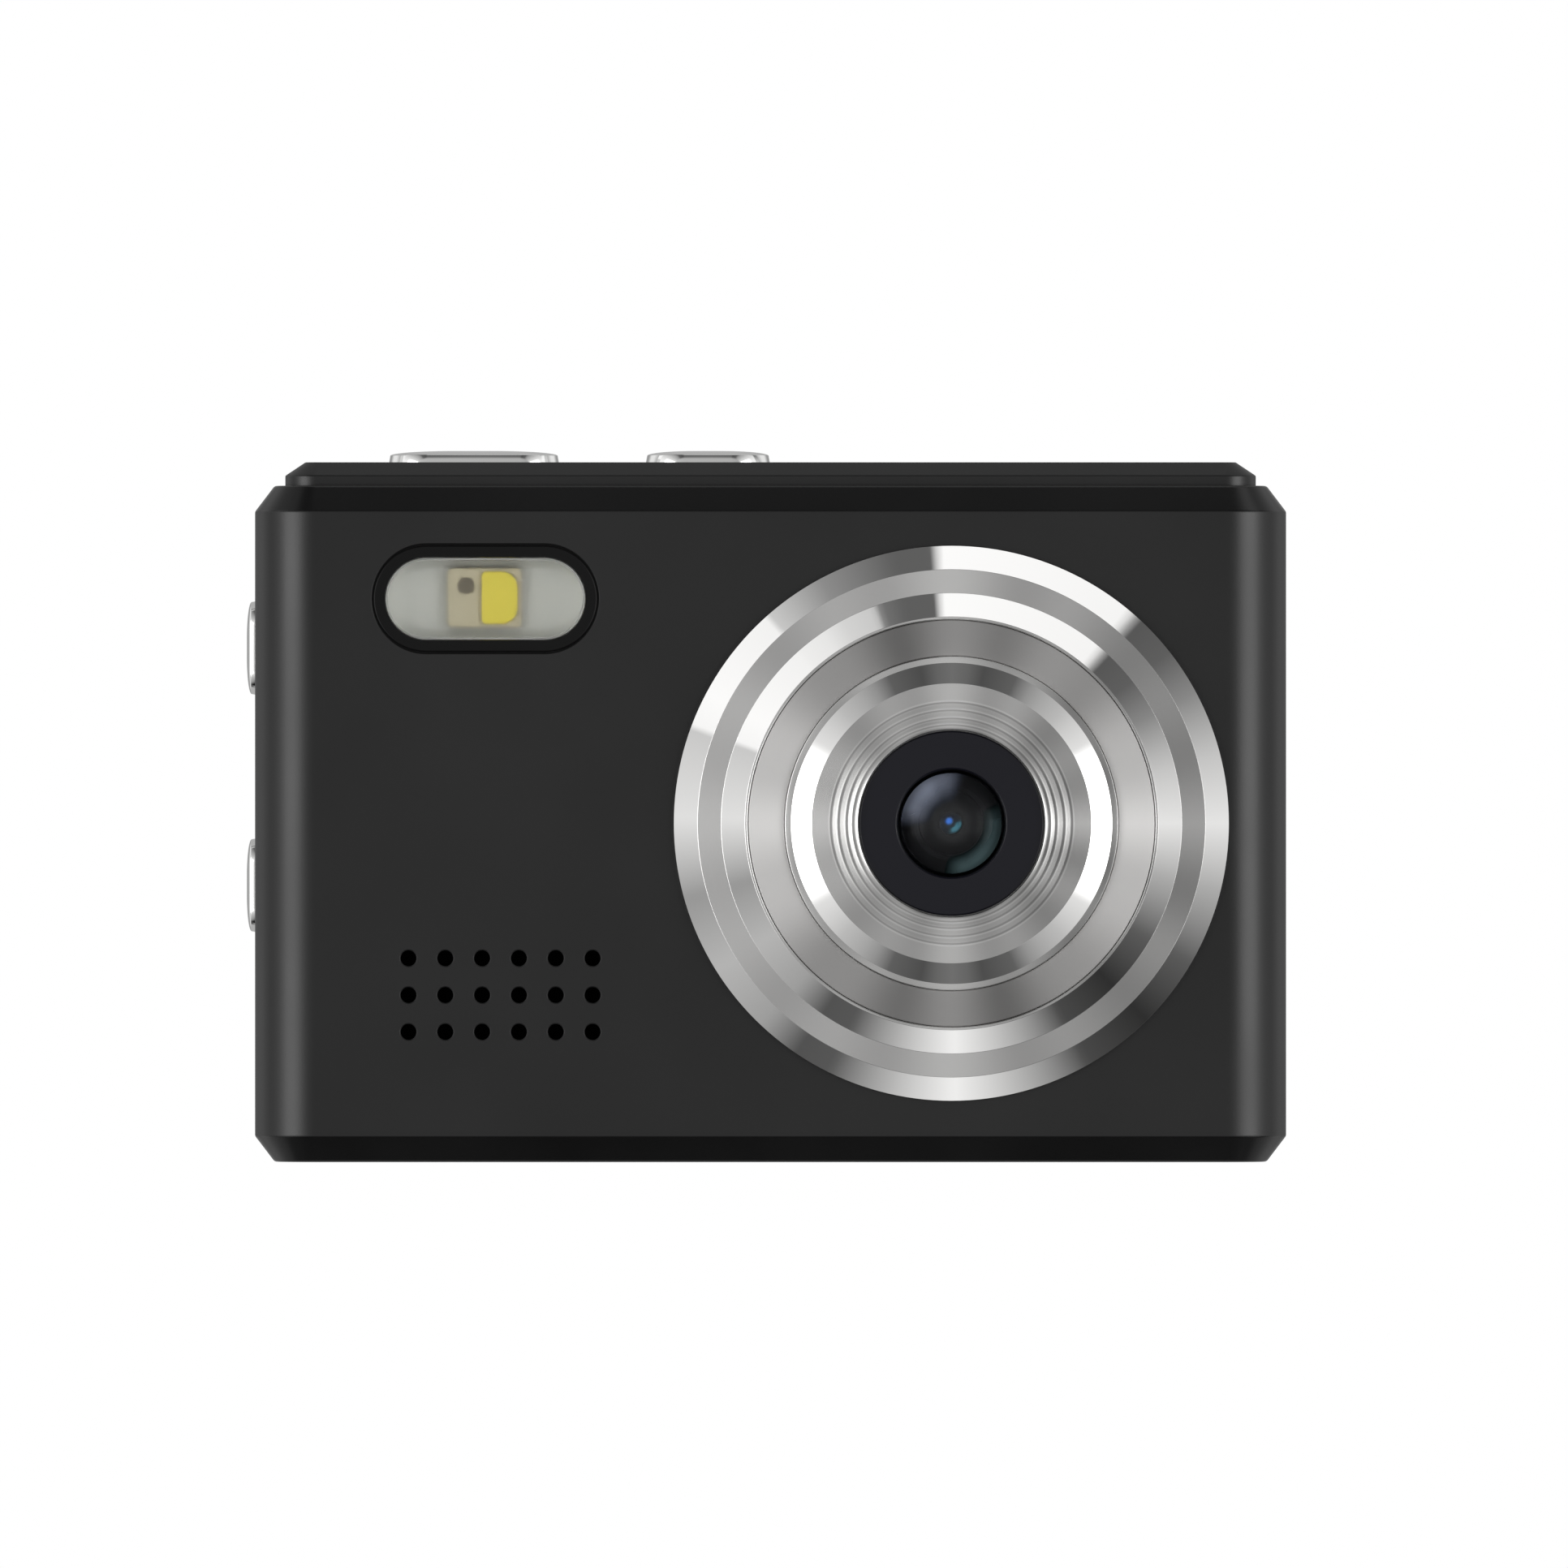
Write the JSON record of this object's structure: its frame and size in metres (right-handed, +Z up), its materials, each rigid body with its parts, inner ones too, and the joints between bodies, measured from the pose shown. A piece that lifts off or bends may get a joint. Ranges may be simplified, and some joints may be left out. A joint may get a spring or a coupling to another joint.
{
  "type": "compact digital camera",
  "caption": "Flat rectangular digital camera with a round stepped lens ring, flash window, speaker grille, push buttons, rear screen and a battery door in its base.",
  "frame": {"origin": "middle of the case's flat base", "axes": "+Z up from the base to the top buttons, the lens looks along -Y, +X towards the lens side (right as seen by somebody who faces the lens)"},
  "size_m": [0.0928, 0.0256, 0.0635],
  "materials": {
    "case_black": "satin moulded plastic",
    "gloss_black": "polished black plastic",
    "matt_black": "matt black plastic",
    "chrome_plate": "polished plating",
    "spun_aluminium": "spun, with fine round grooves",
    "steel": "plain steel",
    "brass": "turned brass",
    "clear_plastic": "clear plastic, ribbed inside",
    "coated_glass": "coated lens glass",
    "board_green": "circuit board with green solder mask",
    "silicone": "soft silicone",
    "white_plastic": "white plastic",
    "phosphor_yellow": "yellow phosphor gel",
    "battery_wrap": "shrink wrap",
    "flex_amber": "amber polyimide film",
    "card_black": "black moulded plastic"
  },
  "bodies": {
    "case": {"front_shell": "case_black", "rear_shell": "case_black", "top_cover": "case_black", "lens_outer_ring": "chrome_plate", "lens_face_ring": "spun_aluminium", "lens_dish_ring": "spun_aluminium", "lens_cover_plate": "gloss_black", "lens_front_element": "coated_glass", "lens_inner_element": "coated_glass", "lens_barrel": "matt_black", "lens_holder": "matt_black", "ir_filter": "coated_glass", "image_sensor": "matt_black", "flash_bezel": "gloss_black", "flash_window": "clear_plastic", "flash_reflector": "white_plastic", "flash_led": "white_plastic", "flash_phosphor": "phosphor_yellow", "flash_board": "board_green", "speaker_frame": "steel", "speaker_cone": "matt_black", "speaker_mesh": "matt_black", "shutter_switch": "steel", "power_switch": "steel", "side_switch_upper": "steel", "side_switch_lower": "steel", "key_board": "board_green", "key_dome_sheet": "silicone", "status_light": "clear_plastic", "lcd_window": "gloss_black", "lcd_panel": "steel", "lcd_flex": "flex_amber", "main_board": "board_green", "battery": "battery_wrap", "battery_contacts": "brass", "inner_frame": "matt_black", "door_hinge_pin": "steel", "usb_port": "steel", "card_socket": "steel", "tripod_bush": "brass", "strap_bar": "steel", "microphone": "steel", "case_screw_1": "steel", "case_screw_2": "steel", "case_screw_3": "steel", "case_screw_4": "steel"},
    "shutter_button": {"shutter_button": "chrome_plate"},
    "power_button": {"power_button": "chrome_plate"},
    "side_button_upper": {"side_button_upper": "chrome_plate"},
    "side_button_lower": {"side_button_lower": "chrome_plate"},
    "menu_key": {"menu_key": "gloss_black"},
    "play_key": {"play_key": "gloss_black"},
    "mode_key": {"mode_key": "gloss_black"},
    "delete_key": {"delete_key": "gloss_black"},
    "ok_key": {"ok_key": "chrome_plate"},
    "nav_pad": {"nav_pad": "silicone"},
    "nav_ring": {"nav_ring": "gloss_black"},
    "battery_door": {"battery_door": "case_black"},
    "memory_card": {"memory_card": "card_black"}
  },
  "joints": [
    {"name": "shutter_press", "type": "slide", "parent": "case", "child": "shutter_button", "axis": [0, 0, -1], "range_m": [0, 0.0005], "stiffness_N_per_m": 800, "springref_m": -0.0003},
    {"name": "power_press", "type": "slide", "parent": "case", "child": "power_button", "axis": [0, 0, -1], "range_m": [0, 0.0005], "stiffness_N_per_m": 800, "springref_m": -0.0003},
    {"name": "side_upper_press", "type": "slide", "parent": "case", "child": "side_button_upper", "axis": [1, 0, 0], "range_m": [0, 0.0005], "stiffness_N_per_m": 800, "springref_m": -0.0003},
    {"name": "side_lower_press", "type": "slide", "parent": "case", "child": "side_button_lower", "axis": [1, 0, 0], "range_m": [0, 0.0005], "stiffness_N_per_m": 800, "springref_m": -0.0003},
    {"name": "menu_press", "type": "slide", "parent": "case", "child": "menu_key", "axis": [0, -1, 0], "range_m": [0, 0.0004], "stiffness_N_per_m": 800, "springref_m": -0.0003},
    {"name": "play_press", "type": "slide", "parent": "case", "child": "play_key", "axis": [0, -1, 0], "range_m": [0, 0.0004], "stiffness_N_per_m": 800, "springref_m": -0.0003},
    {"name": "mode_press", "type": "slide", "parent": "case", "child": "mode_key", "axis": [0, -1, 0], "range_m": [0, 0.0004], "stiffness_N_per_m": 800, "springref_m": -0.0003},
    {"name": "delete_press", "type": "slide", "parent": "case", "child": "delete_key", "axis": [0, -1, 0], "range_m": [0, 0.0004], "stiffness_N_per_m": 800, "springref_m": -0.0003},
    {"name": "ok_press", "type": "slide", "parent": "case", "child": "ok_key", "axis": [0, -1, 0], "range_m": [0, 0.0004], "stiffness_N_per_m": 800, "springref_m": -0.0003},
    {"name": "nav_tilt_up_down", "type": "hinge", "parent": "case", "child": "nav_pad", "pos_m": [-0.0295, 0.007, 0.0295], "axis": [1, 0, 0], "range_deg": [-2, 2], "stiffness_Nm_per_rad": 0.4},
    {"name": "nav_tilt_left_right", "type": "hinge", "parent": "nav_pad", "child": "nav_ring", "pos_m": [-0.0295, 0.007, 0.0295], "axis": [0, 0, 1], "range_deg": [-2, 2], "stiffness_Nm_per_rad": 0.4},
    {"name": "battery_door_hinge", "type": "hinge", "parent": "case", "child": "battery_door", "pos_m": [-0.038, -0.0019, 0.0016], "axis": [0, 1, 0], "range_deg": [0, 90]},
    {"name": "memory_card_slide", "type": "slide", "parent": "case", "child": "memory_card", "axis": [1, 0, 0], "range_m": [-0.0006, 0.012]}
  ]
}
